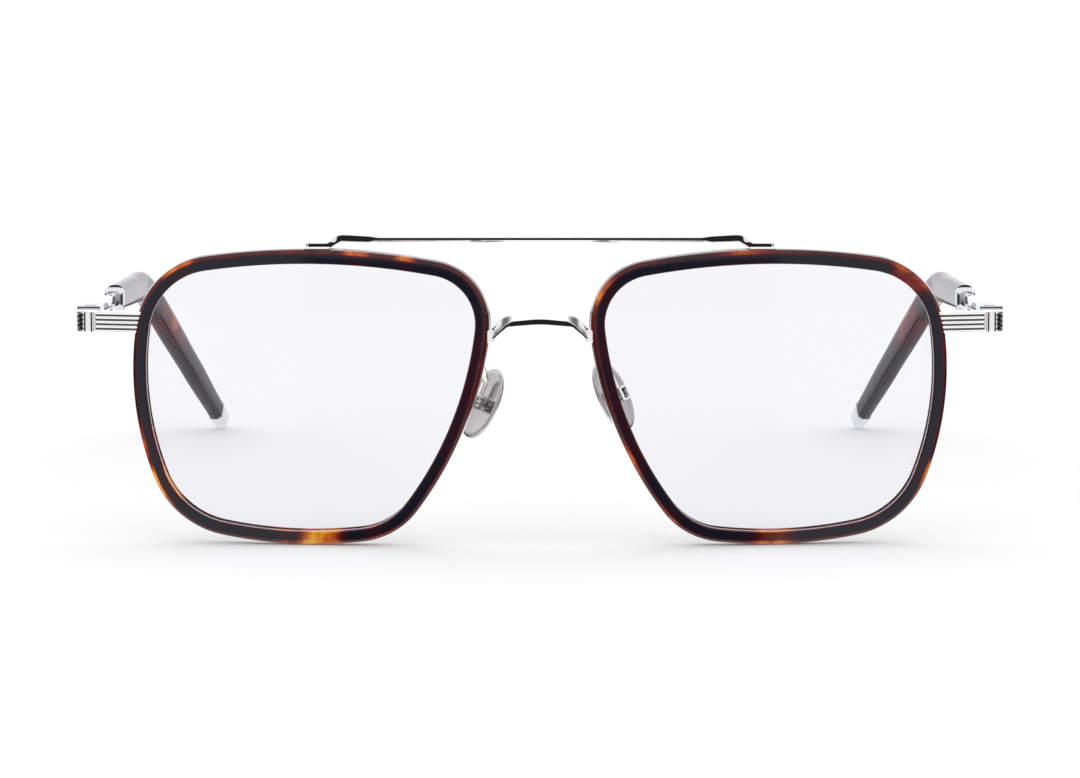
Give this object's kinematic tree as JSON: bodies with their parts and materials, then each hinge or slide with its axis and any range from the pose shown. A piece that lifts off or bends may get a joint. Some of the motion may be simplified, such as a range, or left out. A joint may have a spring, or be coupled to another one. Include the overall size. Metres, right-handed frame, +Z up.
{
  "type": "full rim eyeglasses",
  "caption": "Full-rim eyeglasses with tortoise acetate rings in polished metal eyewires, brow bar, saddle bridge, folding temples and adjustable nose pads.",
  "frame": {"origin": "under the middle of the object's box, on the surface that it stands on", "axes": "+X right as seen from the front (node names use the same left and right), the front faces -Y and the temples run back along +Y, +Z up"},
  "size_m": [0.143, 0.14, 0.0484],
  "materials": {
    "acetate": "polished dark tortoise with amber and red-brown patches",
    "polished_metal": "polished silver-coloured titanium",
    "pad_metal": "satin titanium",
    "screw_steel": "turned steel",
    "lens": "clear with a faint blue anti-reflection tint"
  },
  "bodies": {
    "front": {"bridge": "polished_metal", "brow_bar": "polished_metal", "windsor_ring_left": "acetate", "eyewire_left": "polished_metal", "lens_left": "lens", "rim_lock_screw_left": "screw_steel", "end_piece_left": "polished_metal", "hinge_block_left": "polished_metal", "hinge_screw_left": "screw_steel", "pad_arm_left": "polished_metal", "pad_box_left": "pad_metal", "pad_screw_left": "screw_steel", "windsor_ring_right": "acetate", "eyewire_right": "polished_metal", "lens_right": "lens", "rim_lock_screw_right": "screw_steel", "end_piece_right": "polished_metal", "hinge_block_right": "polished_metal", "hinge_screw_right": "screw_steel", "pad_arm_right": "polished_metal", "pad_box_right": "pad_metal", "pad_screw_right": "screw_steel"},
    "temple_left": {"hinge_leaf_left": "polished_metal", "temple_left": "polished_metal", "ferrule_left": "polished_metal", "temple_tip_left": "acetate", "tip_cap_left": "polished_metal"},
    "temple_right": {"hinge_leaf_right": "polished_metal", "temple_right": "polished_metal", "ferrule_right": "polished_metal", "temple_tip_right": "acetate", "tip_cap_right": "polished_metal"},
    "nose_pad_left": {"nose_pad_left": "pad_metal"},
    "nose_pad_right": {"nose_pad_right": "pad_metal"}
  },
  "joints": [
    {"name": "temple_left_hinge", "type": "hinge", "parent": "front", "child": "temple_left", "pos_m": [-0.0696, -0.0585, 0.03461], "axis": [0, -0.0523, -0.9986], "range_deg": [0, 84]},
    {"name": "temple_right_hinge", "type": "hinge", "parent": "front", "child": "temple_right", "pos_m": [0.0696, -0.0585, 0.03461], "axis": [0, 0.0523, 0.9986], "range_deg": [0, 75]},
    {"name": "nose_pad_left_rock", "type": "hinge", "parent": "front", "child": "nose_pad_left", "pos_m": [-0.00981, -0.06101, 0.02156], "axis": [0.6064, -0.7431, -0.2828], "range_deg": [-8, 8]},
    {"name": "nose_pad_right_rock", "type": "hinge", "parent": "front", "child": "nose_pad_right", "pos_m": [0.01231, -0.06101, 0.02276], "axis": [-0.6064, -0.7431, -0.2828], "range_deg": [-8, 8]}
  ]
}
